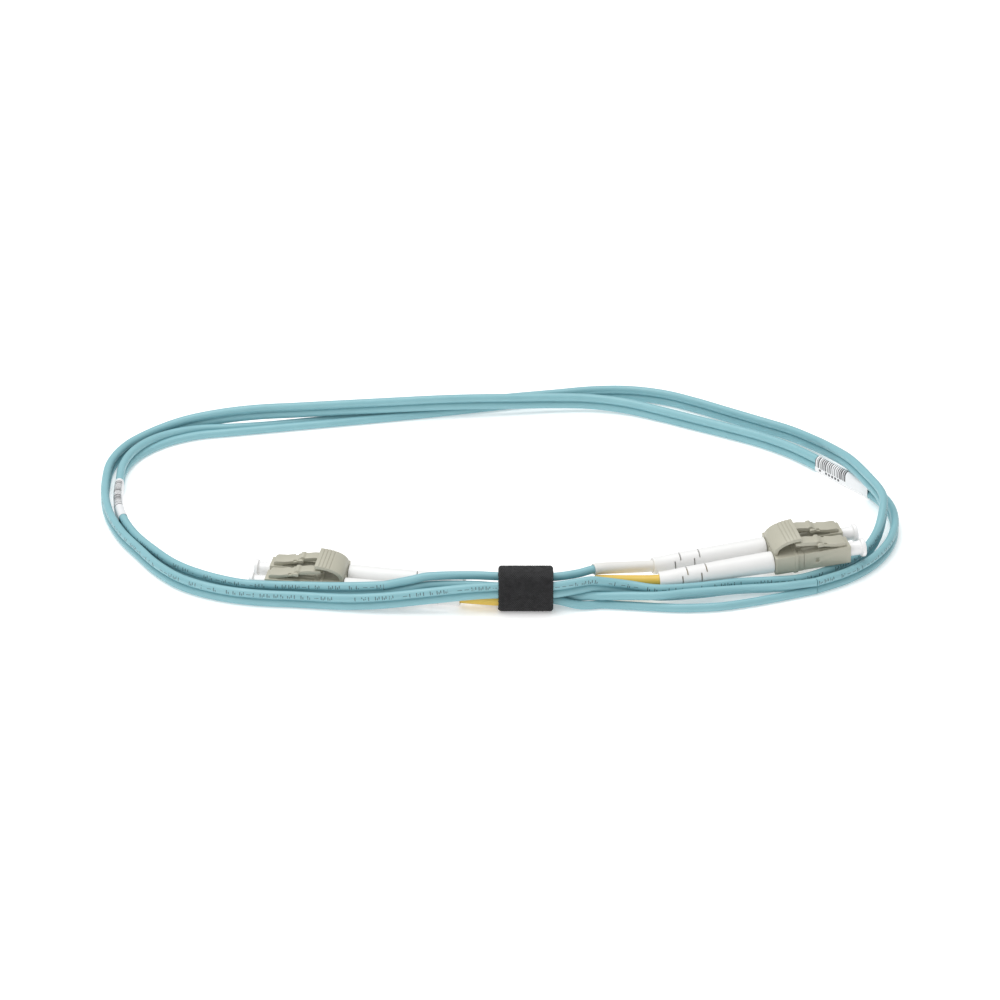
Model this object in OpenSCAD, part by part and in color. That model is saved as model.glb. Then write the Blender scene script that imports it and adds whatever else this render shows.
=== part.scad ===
// Duplex LC to LC fibre optic patch cord, one metre, coiled in two turns and tied.
// Millimetres. The origin is the middle of the tie's flat underside, +Z is up,
// and +X runs along the tied bundle towards connector B.

/* [Connector] */
// Distance between the two fibre axes of a duplex connector
pitch = 6.25; // [6.25:0.05:6.4]
// Side of the square plug housing
plug_side = 4.52; // [4.4:0.02:4.6]
// Length of the plug housing
plug_len = 11.5; // [11:0.1:12]
// Length of the duplex clip
clip_len = 5.6; // [5.4:0.1:5.8]
// Width of the trigger that presses both latches
trigger_w = 8.6; // [8:0.1:9.4]
// Diameter of the ceramic ferrule
ferrule_d = 1.25; // [1.25:0.01:1.26]
// Travel of the spring-loaded ferrule
ferrule_travel = 1.2; // [0.8:0.1:1.4]
// Length of the strain relief boot
boot_len = 27.5; // [26:0.5:28]
// Diameter of the boot where it meets the clip
boot_d_front = 5.1; // [4.9:0.1:5.1]
// Diameter of the boot where the leg leaves it
boot_d_rear = 4.1; // [4:0.1:4.3]
// How far a dust cap stands out of the plug
cap_out = 4.0; // [3.6:0.1:4.4]

/* [Cord] */
// Diameter of one jacketed strand
strand_d = 2.0; // [1.9:0.05:2]
// Distance between the two strands of the zipcord
strand_pitch = 2.05; // [2:0.01:2.06]
// Outside diameter of the coloured sleeve on each leg
sleeve_d = 2.8; // [2.7:0.05:2.8]
// Length of the coloured sleeve that shows behind the boot
sleeve_len = 15; // [12:0.5:15]
// Thickness of the wrap-around labels
label_wall = 0.12; // [0.1:0.01:0.14]

/* [Tie] */
// Width of the hook-and-loop tie along the bundle
tie_w = 12.7; // [12:0.1:12.7]
// Thickness of the tie's strap
tie_wall = 1.0; // [0.8:0.1:1]

/* [Hidden] */
$fn = 48;
gap = 0.05;
label_gap = 0.03;
floor_gap = 0.02;

aqua = [0.50, 0.72, 0.75];
beige = [0.72, 0.71, 0.63];
ivory = [0.94, 0.94, 0.93];

// Connector stations along its own axis, forwards from the face that the boot meets.
collar_end = clip_len + 1.5;
plug_end = collar_end + plug_len;
half = plug_side / 2;
clip_half_h = 2.35;
clip_side = 2.6;
body_r = 1.9;
stem_r = 1.35;
socket_r = 1.75;
socket_len = 2.8;
chamber_r = 1.3;
fibre_bore_r = 0.8;
holder_r = 1.2;
holder_len = 2;
stem_back = collar_end + 0.4 - ferrule_travel;
cavity_r = 1.75;
cavity_depth = 4.5;
web = 0.6;
holder_front = plug_end - cavity_depth - web;
tip_out = 1.3;
cap_insert = 1.7;
cap_r = 1.66;
cap_flange_r = 2.25;
cap_wall = 0.9;
latch_w = 2.6;
latch_pivot = [plug_end - 1.8, 2.55];
trigger_pivot = [0.45, 2.8];
trigger_tip = [clip_len + 1.2, 6.1];
trigger_wall = 0.85;
crimp_r = 1.7;
crimp_len = 6.3;
crimp_start = 1.2;
leg_inset = 8;
sleeve_inset = 5.5;
turns = 6;

// Where each duplex connector lies: its middle at the boots' front, then roll, pitch and yaw.
place_a = [[-41.9, 7.2, 2.62], [-1, 0, 171.4]];
place_b = [[57.2, 13.5, 6.42], [5, -3, 13.4]];

// A leg's axis, from behind its crimp sleeve to where the two legs join as zipcord.
tail_a1 = [[-14.6, 4.9, 2.5], [-10, 2.75, 2.52], [-6.5, 1.72, 2.58], [-3, 1.62, 2.58], [0, 1.62, 2.58],
  [6.5, 1.5, 2.5], [12, 0.3, 2.5], [15, -0.1, 2.85], [18, -0.6, 3.1], [24, -0.8, 3.3],
  [31, -1.1, 3.5], [38, 0.45, 3.4], [45, 1.9, 3.2], [52, 3.0, 3.1], [60, 4.1, 3.06], [68, 6.2, 3.055]];
tail_a2 = [[-15, 0.0, 2.5], [-10, -0.7, 2.45], [-6.5, -1.15, 2.45], [0, -1.2, 2.45], [6.5, -1.0, 2.35],
  [12, -1.5, 1.3], [15, -1.2, 1.05], [18, -0.8, 1.02], [24, -1.4, 1.02], [30, -2.1, 1.02],
  [37, -2.6, 1.02], [45, -1.9, 1.02], [52, 0.0, 1.02], [60, 2.9, 1.01], [68, 6.2, 1.005]];
tail_b1 = [[29.8, 10.2, 5.2], [22.5, 7.6, 6.2], [16.5, 5.3, 7.1], [12, 3.2, 7.0], [6.4, 1.4, 7.1],
  [0, 1.3, 7.0], [-7, 1.6, 7.2], [-13, 1.5, 7.5], [-22, 0.6, 7.75], [-27, -0.2, 7.1],
  [-33, -0.5, 5.925]];
tail_b2 = [[31.1, 4.2, 4.6], [24, 4.3, 4.4], [16.5, 3.6, 4.8], [12, 2.1, 4.9], [9, 1.1, 4.9],
  [6.4, 0.2, 5.0], [0, 0.1, 5.0], [-7, 0.3, 5.2], [-13, 0.3, 5.6], [-22, 0.1, 5.65],
  [-27, -0.5, 5.0], [-33, -0.5, 3.875]];

// The coil's two turns are straight runs with rounded corners: x, y and each corner's radius.
turn_corners = [
  [[68, 6.2, 0], [89, 18, 35], [89, 48, 25], [63.5, 79, 60], [22, 102.5, 40], [-102.5, 88, 29],
    [-102.5, 40, 60], [-81, 5, 30], [-63, 0.6, 0]],
  [[65, 8.2, 0], [86.3, 21, 35], [86.3, 44, 25], [71.5, 81.5, 25], [30, 109.5, 35], [-99, 83, 25],
    [-99, 36, 50], [-79.5, 10, 25], [-67, 4, 0]]
];
coil_mid = [-7, 50];
turn_steps = 38;
// How far each turn is lifted off the floor where it has got to, in degrees round from the coil's
// right end: the labels need a little room, the first turn crosses over the second at the back left,
// and the second over the first at the right.
turn_lift = [
  [[-9, 0], [-5, 0.2], [16, 0.2], [22, 0], [50, 0], [100, 2.07], [112, 2.17], [146, 2.17], [157, 0]],
  [[-17, 0.05], [-7, 4.17], [-4, 4.49], [5, 4.49], [8, 4.17], [21, 0], [166, 0], [170, 0.24],
    [200, 0.24], [214, 1.07]]
];
// How far the upper strand leans away from upright: the second turn lies flat under the first.
turn_lean = [
  [[0, 0]],
  [[80, 0], [97, 35], [120, 90], [148, 90], [161, 35], [168, 0]]
];

// The runs through the tie, chosen to lie between the legs and boots: x, y, z and lean.
bundle_run = [
  [-53, -0.4, 2.05, 0], [-42, -1.9, 2.3, 0], [-33, -2.7, 3.1, 0], [-22, -2.75, 4.4, 0],
  [-13, -2.75, 5.45, 0], [-6.4, -2.27, 5.6, 0], [0, -2.24, 5.6, 0], [6.4, -2.1, 5.6, 0],
  [12, -0.3, 5.6, 4], [15, 0.75, 5.55, 4], [18, 1.25, 5.0, 2], [24, 1.55, 3.95, 0],
  [31, 0.95, 3.2, 0], [40, 3.0, 2.6, 0], [49, 5.2, 2.5, 0], [58, 6.5, 2.3, 0]
];
last_run = [[-60, 2.8, 3.2, 0], [-53, 1.9, 3.5, 0], [-42, 0.1, 4.3, 0], [-33, -0.5, 4.9, 0]];

// Points round the corner at b, coming from a and going on to c.
function corner_arc(a, b, c, n) =
  let (u = unit([a.x - b.x, a.y - b.y]), v = unit([c.x - b.x, c.y - b.y]), half_angle = acos(u * v) / 2,
    middle = unit(u + v) * b.z / sin(half_angle), w = u * b.z / tan(half_angle) - middle,
    sweep_angle = -sign(cross(u, v)) * (180 - 2 * half_angle))
  [for (k = [0 : n]) let (t = sweep_angle * k / n)
    [b.x + middle.x + w.x * cos(t) - w.y * sin(t), b.y + middle.y + w.x * sin(t) + w.y * cos(t), 0]];
function rounded(p, n) = [
  [p[0].x, p[0].y, 0],
  for (i = [1 : len(p) - 2]) each corner_arc(p[i - 1], p[i], p[i + 1], n),
  [p[len(p) - 1].x, p[len(p) - 1].y, 0]
];
function resting_height(lean) = strand_d / 2 + strand_pitch / 2 * cos(lean) + floor_gap;
function turn(k) =
  let (loop = rounded(turn_corners[k], 10), s = lengths(loop))
  [for (q = stretch(loop, 0, s[len(s) - 1], turn_steps))
    let (a = atan2(q.y - coil_mid.y, q.x - coil_mid.x), round_by = a < -60 ? a + 360 : a,
      lean = lookup(round_by, turn_lean[k]))
    [q.x, q.y, resting_height(lean) + lookup(round_by, turn_lift[k]), lean]];

route = concat(turn(0), bundle_run, turn(1), last_run);
second_start = turn_steps + 1 + len(bundle_run);

// ---------- curves and swept solids ----------
function catmull(a, b, c, d, t) =
  0.5 * (2 * b + (c - a) * t + (2 * a - 5 * b + 4 * c - d) * t * t
    + (3 * b - a - 3 * c + d) * t * t * t);
function smooth(p, n) = [
  for (i = [0 : len(p) - 2]) for (k = [0 : n - 1])
    catmull(p[max(i - 1, 0)], p[i], p[i + 1], p[min(i + 2, len(p) - 1)], k / n),
  p[len(p) - 1]
];
function at3(q) = [q[0], q[1], q[2]];
function unit(v) = v / norm(v);
function heading(p, i) = unit(at3(p[min(i + 1, len(p) - 1)]) - at3(p[max(i - 1, 0)]));
function lengths(p) = [
  for (i = 0, s = 0; i < len(p); s = s + (i + 1 < len(p) ? norm(at3(p[i + 1]) - at3(p[i])) : 0), i = i + 1) s
];
function place_at(p, s, at) =
  let (i = min(len([for (c = s) if (c <= at) 1]) - 1, len(p) - 2))
  p[i] + (p[i + 1] - p[i]) * (at - s[i]) / (s[i + 1] - s[i]);
// The stretch of a line between two distances along it, in n equal steps.
function stretch(p, from, to, n) =
  let (s = lengths(p))
  [for (k = [0 : n]) place_at(p, s, min(from + (to - from) * k / n, s[len(s) - 1] - 0.0001))];

function round_profile(r, n) = [for (k = [0 : n - 1]) r * [cos(360 * (k + 0.5) / n), sin(360 * (k + 0.5) / n)]];
// Two strands side by side with a waist between them.
function zip_profile(r, h) = [
  [r * 0.62, 0.42 * h], [r, h], [r * 0.72, h + r * 0.72], [0, h + r],
  [-r * 0.72, h + r * 0.72], [-r, h], [-r * 0.62, 0.42 * h],
  [-r * 0.62, -0.42 * h], [-r, -h], [-r * 0.72, -h - r * 0.72], [0, -h - r],
  [r * 0.72, -h - r * 0.72], [r, -h], [r * 0.62, -0.42 * h]
];
// A flat wrap around both strands.
function wrap_profile(r, h) = [
  [r, 0], [r, h], [r * 0.72, h + r * 0.72], [0, h + r], [-r * 0.72, h + r * 0.72], [-r, h], [-r, 0],
  [-r, -h], [-r * 0.72, -h - r * 0.72], [0, -h - r], [r * 0.72, -h - r * 0.72], [r, -h]
];
// Triangles between n rings of m points each.
function skin_faces(n, m) = [for (i = [0 : n - 2]) for (k = [0 : m - 1]) let (j = (k + 1) % m)
  each [[i * m + k, (i + 1) * m + j, (i + 1) * m + k], [i * m + k, i * m + j, (i + 1) * m + j]]];
function ring(p, i, profile, roll) =
  let (t = heading(p, i), side = unit([t.y, -t.x, 0]), up = cross(side, t))
  [for (q = profile)
    at3(p[i]) + side * (q.x * cos(roll) + q.y * sin(roll)) + up * (q.y * cos(roll) - q.x * sin(roll))];

// One closed solid along a line: profiles[i] is the section at point from + i.
module sweep(p, profiles, from = 0, rolled = false) {
  m = len(profiles[0]);
  n = len(profiles);
  points = [for (i = [0 : n - 1]) each ring(p, from + i, profiles[i], rolled ? p[from + i][3] : 0)];
  sides = skin_faces(n, m);
  ends = [[for (k = [m - 1 : -1 : 0]) k], [for (k = [0 : m - 1]) (n - 1) * m + k]];
  polyhedron(points = points, faces = concat(sides, ends), convexity = 10);
}
// The same with a hole through it: bores[i] is the hole's section at that point.
module hollow_sweep(p, profiles, bores, from = 0, rolled = false) {
  m = len(profiles[0]);
  n = len(profiles);
  skin = [for (i = [0 : n - 1]) each ring(p, from + i, profiles[i], rolled ? p[from + i][3] : 0)];
  bore = [for (i = [0 : n - 1]) each ring(p, from + i, bores[i], rolled ? p[from + i][3] : 0)];
  b = n * m;
  e = b - m;
  inside = [for (f = skin_faces(n, m)) [b + f[0], b + f[2], b + f[1]]];
  ends = [for (k = [0 : m - 1]) let (j = (k + 1) % m)
    each [[k, b + j, j], [k, b + k, b + j], [e + k, e + j, b + e + j], [e + k, b + e + j, b + e + k]]];
  polyhedron(points = concat(skin, bore), faces = concat(skin_faces(n, m), inside, ends), convexity = 10);
}
module tube_along(p, r, n) sweep(p, [for (q = p) round_profile(r, n)]);

// ---------- one fibre channel, on its own axis ----------
module channel(place, side) {
  translate(place[0]) rotate(place[1]) translate([0, side * pitch / 2, 0]) children();
}
module along_x(x, length, r) translate([x, 0, 0]) rotate([0, 90, 0]) cylinder(r = r, h = length);
module block(x, length, y, z) translate([x, -y, -z]) cube([length, 2 * y, 2 * z]);

module plug_housing(place, side) color(beige) channel(place, side) difference() {
  union() {
    block(collar_end + gap, plug_len - gap - 0.4, half, half);
    block(collar_end + 1, plug_len - 1, half - 0.3, half - 0.3);
  }
  along_x(collar_end - 1, 1 + socket_len + gap, socket_r + gap);
  along_x(collar_end, holder_front - collar_end, chamber_r);
  along_x(collar_end, plug_len, ferrule_d / 2 + 0.25);
  along_x(plug_end - cavity_depth, cavity_depth + 1, cavity_r);
  // the latch's slot down the middle of the top
  translate([collar_end - 1, -0.9, half - 0.3]) cube([plug_len - 4.5, 1.8, 1]);
  // recessed windows in both side walls
  for (s = [-1, 1]) translate([collar_end + 3.2, s * half - 0.12, -0.6]) cube([0.8, 0.24, 1.1]);
}

module latch(place, side) color(beige) channel(place, side) {
  arm = [
    [latch_pivot.x + 0.5, 2.36], [latch_pivot.x - 0.2, 2.36], [latch_pivot.x - 2.4, 2.75],
    [latch_pivot.x - 5.6, 3.35], [5.4, 4.2], [5.4, 4.8], [8.6, 4.8],
    [latch_pivot.x - 5.9, 4.4], [latch_pivot.x - 5, 3.9], [latch_pivot.x - 2.9, 3.5],
    [latch_pivot.x + 0.5, 3.2]
  ];
  rotate([90, 0, 0]) linear_extrude(latch_w, center = true) polygon(arm);
  for (s = [-1, 1]) translate([latch_pivot.x - 6, s * 1.6 - 0.55, 3.35]) cube([0.9, 1.1, 0.75]);
}

module ferrule(place, side) color("white") channel(place, side) {
  tip = plug_end + tip_out;
  back = holder_front - holder_len + 0.4;
  along_x(back, tip - back - 0.3, ferrule_d / 2);
  translate([tip - 0.3, 0, 0]) rotate([0, 90, 0]) cylinder(r1 = ferrule_d / 2, r2 = 0.4, h = 0.3);
}

module ferrule_holder(place, side) color("silver") channel(place, side) difference() {
  union() {
    along_x(holder_front - holder_len, holder_len, holder_r);
    along_x(stem_back, holder_front - holder_len - stem_back + 0.1, 0.6);
  }
  along_x(holder_front - holder_len + 0.4, holder_len, ferrule_d / 2 + 0.01);
  along_x(collar_end - 1, plug_len, 0.25);
}

// The spring's centreline winds from the rear body's shoulder to the ferrule holder.
module spring(place, side) color("silver") channel(place, side) {
  from = collar_end + 1.2;
  to = holder_front - holder_len - 0.15;
  steps = turns * 10;
  coil = [for (k = [0 : steps])
    [from + (to - from) * k / steps, 0.95 * cos(360 * k * turns / steps), 0.95 * sin(360 * k * turns / steps)]];
  tube_along(coil, 0.13, 6);
}

module rear_body(place, side) color(beige) channel(place, side) difference() {
  union() {
    block(clip_len + gap, collar_end - clip_len - gap, half - 0.1, half - 0.1);
    along_x(-1, clip_len + 1.5, body_r);
    along_x(-crimp_start - crimp_len, crimp_len + 1, stem_r);
    along_x(collar_end - 0.5, socket_len + 0.5, socket_r);
  }
  along_x(-20, 40, fibre_bore_r);
  along_x(collar_end + 1, socket_len, chamber_r - 0.1);
}

module crimp_sleeve(place, side) color("silver") channel(place, side) difference() {
  along_x(-crimp_start - crimp_len, crimp_len, crimp_r);
  along_x(-crimp_start - crimp_len - 1, crimp_len + 2, stem_r + gap);
}

module dust_cap(place, side) color(ivory) channel(place, side) rotate([0, 90, 0]) rotate_extrude() polygon([
  [0.8, plug_end - cap_insert], [cap_r, plug_end - cap_insert], [cap_r, plug_end + cap_out - 1.1],
  [cap_flange_r - 0.2, plug_end + cap_out - 1], [cap_flange_r, plug_end + cap_out - 0.8],
  [cap_flange_r, plug_end + cap_out - 0.2], [cap_flange_r - 0.2, plug_end + cap_out],
  [0, plug_end + cap_out], [0, plug_end + cap_out - cap_wall], [0.8, plug_end + cap_out - cap_wall]
]);

// ---------- what both channels of a connector share ----------
module duplex_clip(place) color(beige) translate(place[0]) rotate(place[1]) difference() {
  union() {
    block(0.1, clip_len - 0.1, pitch / 2 + clip_side, clip_half_h);
    block(0.9, 1, pitch / 2 + clip_side + 0.15, clip_half_h - 0.6);
  }
  for (s = [-1, 1]) translate([0, s * pitch / 2, 0]) along_x(-1, clip_len + 2, body_r + gap);
  translate([-1, -0.4, -clip_half_h - 1]) cube([clip_len + 2, 0.8, 3]);
}

module trigger(place) color(beige) translate(place[0]) rotate(place[1]) {
  rise = trigger_tip.y - trigger_pivot.y;
  run = trigger_tip.x - trigger_pivot.x;
  outer = [for (a = [180 : -9 : 90])
    [trigger_tip.x + run * 1.05 * cos(a), trigger_pivot.y + rise * sin(a)]];
  inner = [for (a = [90 : 9 : 180])
    [trigger_tip.x + (run * 1.05 - trigger_wall) * cos(a), trigger_pivot.y + (rise - trigger_wall) * sin(a)]];
  foot = [for (a = [-30 : -30 : -150])
    [(outer[0].x + inner[10].x) / 2, trigger_pivot.y] + trigger_wall / 2 * [cos(a), sin(a)]];
  rotate([90, 0, 0]) linear_extrude(trigger_w, center = true) polygon(concat(outer, inner, foot));
}

// ---------- the cord's own pieces ----------
function axis_start(place, side) =
  let (r = place[1].x, p = place[1].y, w = place[1].z, y = side * pitch / 2)
  place[0] + y * [-sin(w) * cos(r) + cos(w) * sin(p) * sin(r), cos(w) * cos(r) + sin(w) * sin(p) * sin(r), cos(p) * sin(r)];
function axis_way(place) =
  [cos(place[1].y) * cos(place[1].z), cos(place[1].y) * sin(place[1].z), -sin(place[1].y)];
// A leg's whole line: straight back from the clip, then through its tail's points.
function leg_line(place, side, tail) =
  let (o = axis_start(place, side), d = axis_way(place))
  smooth(concat([o, o - 4.5 * d, o - 9 * d, o - 15 * d, o - 21 * d], tail), 3);

function line_of(name) =
  name == "a1" ? leg_line(place_a, -1, tail_a1) :
  name == "a2" ? leg_line(place_a, 1, tail_a2) :
  name == "b1" ? leg_line(place_b, 1, tail_b1) :
  leg_line(place_b, -1, tail_b2);

module boot(name) color(ivory) {
  n = 10;
  line = stretch(line_of(name), 0.05, boot_len, n);
  grow = (boot_d_rear - boot_d_front) / 2;
  bore = [for (k = [0 : n]) k * boot_len / n < 9 ? crimp_r + 0.3 : sleeve_d / 2 + 0.1];
  hollow_sweep(line,
    [for (k = [0 : n]) round_profile(boot_d_front / 2 + grow * k / n, 16)],
    [for (r = bore) round_profile(r, 16)]);
}

module leg_sleeve(name, tint) color(tint) {
  line = stretch(line_of(name), boot_len - sleeve_inset, boot_len + sleeve_len, 8);
  hollow_sweep(line,
    [for (q = line) round_profile(sleeve_d / 2, 12)],
    [for (q = line) round_profile(strand_d / 2 + 0.07, 12)]);
}

module leg(name) color(aqua) {
  line = line_of(name);
  s = lengths(line);
  tube_along(stretch(line, leg_inset, s[len(s) - 1], 32), strand_d / 2, 8);
}

// Route points where one zipcord node hands over to the next.
cuts = [0, 12, 27, turn_steps + 8, second_start + 11, len(route) - 1];
module zipcord(i) color(aqua)
  sweep(route, [for (k = [cuts[i] : cuts[i + 1]]) zip_profile(strand_d / 2, strand_pitch / 2)],
    cuts[i], rolled = true);

module label(from, to) color(ivory) {
  inner = strand_d / 2 + label_gap;
  hollow_sweep(route,
    [for (k = [from : to]) wrap_profile(inner + label_wall, strand_pitch / 2)],
    [for (k = [from : to]) wrap_profile(inner, strand_pitch / 2)], from, rolled = true);
}

// The tie is a strap bent round the bundle, its end lying over its beginning on top.
tie_out = [8.7, 9.3];
tie_corner = 3;
module rounded(w, h, r, low) {
  translate([-w / 2 + r, low]) square([w - 2 * r, h]);
  translate([-w / 2, low + r]) square([w, h - 2 * r]);
  for (y = [-1, 1], z = [low + r, low + h - r]) translate([y * (w / 2 - r), z]) circle(r = r);
}
module hook_and_loop_tie() color([0.16, 0.16, 0.17])
  rotate([90, 0, 90]) linear_extrude(tie_w, center = true) {
    difference() {
      rounded(tie_out.x, tie_out.y, tie_corner, 0);
      rounded(tie_out.x - 2 * tie_wall, tie_out.y - 2 * tie_wall, tie_corner - tie_wall, tie_wall);
    }
  }

duplex_clip(place_a);  // a_duplex_clip
trigger(place_a);  // a_trigger
duplex_clip(place_b);  // b_duplex_clip
trigger(place_b);  // b_trigger
plug_housing(place_a, -1);  // a1_plug_housing
plug_housing(place_a, 1);  // a2_plug_housing
plug_housing(place_b, 1);  // b1_plug_housing
plug_housing(place_b, -1);  // b2_plug_housing
latch(place_a, -1);  // a1_latch
latch(place_a, 1);  // a2_latch
latch(place_b, 1);  // b1_latch
latch(place_b, -1);  // b2_latch
ferrule(place_a, -1);  // a1_ferrule
ferrule(place_a, 1);  // a2_ferrule
ferrule(place_b, 1);  // b1_ferrule
ferrule(place_b, -1);  // b2_ferrule
ferrule_holder(place_a, -1);  // a1_ferrule_holder
ferrule_holder(place_a, 1);  // a2_ferrule_holder
ferrule_holder(place_b, 1);  // b1_ferrule_holder
ferrule_holder(place_b, -1);  // b2_ferrule_holder
spring(place_a, -1);  // a1_spring
spring(place_a, 1);  // a2_spring
spring(place_b, 1);  // b1_spring
spring(place_b, -1);  // b2_spring
rear_body(place_a, -1);  // a1_rear_body
rear_body(place_a, 1);  // a2_rear_body
rear_body(place_b, 1);  // b1_rear_body
rear_body(place_b, -1);  // b2_rear_body
crimp_sleeve(place_a, -1);  // a1_crimp_sleeve
crimp_sleeve(place_a, 1);  // a2_crimp_sleeve
crimp_sleeve(place_b, 1);  // b1_crimp_sleeve
crimp_sleeve(place_b, -1);  // b2_crimp_sleeve
dust_cap(place_a, -1);  // a1_dust_cap
dust_cap(place_a, 1);  // a2_dust_cap
dust_cap(place_b, 1);  // b1_dust_cap
dust_cap(place_b, -1);  // b2_dust_cap
boot("a1");  // a1_boot
boot("a2");  // a2_boot
boot("b1");  // b1_boot
boot("b2");  // b2_boot
leg_sleeve("a1", ivory);  // a1_leg_sleeve
leg_sleeve("a2", [0.88, 0.74, 0.2]);  // a2_leg_sleeve
leg_sleeve("b1", ivory);  // b1_leg_sleeve
leg_sleeve("b2", [0.88, 0.74, 0.2]);  // b2_leg_sleeve
leg("a1");  // a1_leg
leg("a2");  // a2_leg
leg("b1");  // b1_leg
leg("b2");  // b2_leg
zipcord(0);  // zipcord_right
zipcord(1);  // zipcord_back
zipcord(2);  // zipcord_left
zipcord(3);  // zipcord_front
zipcord(4);  // zipcord_second_turn
label(second_start + 31, second_start + 33);  // label_near_a
label(6, 8);  // label_near_b
hook_and_loop_tie();
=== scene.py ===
"""The finished look of a coiled duplex fibre patch cord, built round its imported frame."""
import math
import bmesh
import bpy
import numpy as np
from mathutils import Matrix, Vector


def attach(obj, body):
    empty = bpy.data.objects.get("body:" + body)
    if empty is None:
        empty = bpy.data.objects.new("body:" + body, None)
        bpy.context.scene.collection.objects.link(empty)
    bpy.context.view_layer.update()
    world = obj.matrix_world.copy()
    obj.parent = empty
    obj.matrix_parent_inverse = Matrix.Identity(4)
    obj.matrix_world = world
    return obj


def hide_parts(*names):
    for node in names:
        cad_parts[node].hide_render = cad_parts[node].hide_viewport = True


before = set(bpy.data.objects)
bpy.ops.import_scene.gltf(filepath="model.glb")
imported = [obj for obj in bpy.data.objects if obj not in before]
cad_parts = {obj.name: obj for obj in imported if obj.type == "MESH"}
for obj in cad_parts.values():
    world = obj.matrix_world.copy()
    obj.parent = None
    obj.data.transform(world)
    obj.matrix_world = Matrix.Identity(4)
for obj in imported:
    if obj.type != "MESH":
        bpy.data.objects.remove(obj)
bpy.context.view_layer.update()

# Shapes are worked out in millimetres and put in place in metres.
MM = 0.001
CORD_BODY = "cord_body"

# ---------- where things lie, as in the design ----------
PLACES = {"a": ((-41.9, 7.2, 2.62), (-1, 0, 171.4)), "b": ((57.2, 13.5, 6.42), (5, -3, 13.4))}
SIDES = {"a1": -1, "a2": 1, "b1": 1, "b2": -1}
PITCH = 6.25
TAIL_A1 = [
    (-14.6, 4.9, 2.5), (-10, 2.75, 2.52), (-6.5, 1.72, 2.58), (-3, 1.62, 2.58), (0, 1.62, 2.58),
    (6.5, 1.5, 2.5), (12, 0.3, 2.5), (15, -0.1, 2.85), (18, -0.6, 3.1), (24, -0.8, 3.3), (31, -1.1, 3.5),
    (38, 0.45, 3.4), (45, 1.9, 3.2), (52, 3, 3.1), (60, 4.1, 3.06), (68, 6.2, 3.055),
]
TAIL_A2 = [
    (-15, 0, 2.5), (-10, -0.7, 2.45), (-6.5, -1.15, 2.45), (0, -1.2, 2.45), (6.5, -1, 2.35),
    (12, -1.5, 1.3), (15, -1.2, 1.05), (18, -0.8, 1.02), (24, -1.4, 1.02), (30, -2.1, 1.02),
    (37, -2.6, 1.02), (45, -1.9, 1.02), (52, 0, 1.02), (60, 2.9, 1.01), (68, 6.2, 1.005),
]
TAIL_B1 = [
    (29.8, 10.2, 5.2), (22.5, 7.6, 6.2), (16.5, 5.3, 7.1), (12, 3.2, 7), (6.4, 1.4, 7.1), (0, 1.3, 7),
    (-7, 1.6, 7.2), (-13, 1.5, 7.5), (-22, 0.6, 7.75), (-27, -0.2, 7.1), (-33, -0.5, 5.925),
]
TAIL_B2 = [
    (31.1, 4.2, 4.6), (24, 4.3, 4.4), (16.5, 3.6, 4.8), (12, 2.1, 4.9), (9, 1.1, 4.9), (6.4, 0.2, 5),
    (0, 0.1, 5), (-7, 0.3, 5.2), (-13, 0.3, 5.6), (-22, 0.1, 5.65), (-27, -0.5, 5), (-33, -0.5, 3.875),
]
# The coil's two turns are straight runs with rounded corners: x, y and each corner's radius.
TURN_CORNERS = (
    ((68, 6.2, 0), (89, 18, 35), (89, 48, 25), (63.5, 79, 60), (22, 102.5, 40), (-102.5, 88, 29),
     (-102.5, 40, 60), (-81, 5, 30), (-63, 0.6, 0)),
    ((65, 8.2, 0), (86.3, 21, 35), (86.3, 44, 25), (71.5, 81.5, 25), (30, 109.5, 35), (-99, 83, 25),
     (-99, 36, 50), (-79.5, 10, 25), (-67, 4, 0)),
)
COIL_MID = (-7, 50)
TURN_STEPS = 38
FLOOR_GAP = 0.02
# How far each turn is lifted off the floor, and how far it leans, by degrees round from its right end.
TURN_LIFT = (
    ((-9, 0), (-5, 0.2), (16, 0.2), (22, 0), (50, 0), (100, 2.07), (112, 2.17), (146, 2.17), (157, 0)),
    ((-17, 0.05), (-7, 4.17), (-4, 4.49), (5, 4.49), (8, 4.17), (21, 0), (166, 0), (170, 0.24),
     (200, 0.24), (214, 1.07)),
)
TURN_LEAN = (
    ((0, 0),),
    ((80, 0), (97, 35), (120, 90), (148, 90), (161, 35), (168, 0)),
)
# The runs through the tie: x, y, z and lean.
BUNDLE_RUN = [
    (-53, -0.4, 2.05, 0), (-42, -1.9, 2.3, 0), (-33, -2.7, 3.1, 0), (-22, -2.75, 4.4, 0),
    (-13, -2.75, 5.45, 0), (-6.4, -2.27, 5.6, 0), (0, -2.24, 5.6, 0), (6.4, -2.1, 5.6, 0),
    (12, -0.3, 5.6, 4), (15, 0.75, 5.55, 4), (18, 1.25, 5.0, 2), (24, 1.55, 3.95, 0),
    (31, 0.95, 3.2, 0), (40, 3.0, 2.6, 0), (49, 5.2, 2.5, 0), (58, 6.5, 2.3, 0),
]
LAST_RUN = [(-60, 2.8, 3.2, 0), (-53, 1.9, 3.5, 0), (-42, 0.1, 4.3, 0), (-33, -0.5, 4.9, 0)]
TAILS = {"a1": TAIL_A1, "a2": TAIL_A2, "b1": TAIL_B1, "b2": TAIL_B2}

# Connector stations along its own axis, forwards from the face that the boot meets.
CLIP_END = 5.6
COLLAR_END = 7.1
PLUG_END = 18.6
HALF = 2.26
BOOT_LEN = 27.5
SLEEVE_IN, SLEEVE_OUT = 22.0, 42.5
CLIP_HALF = (PITCH / 2 + 2.6, 2.35)


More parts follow.
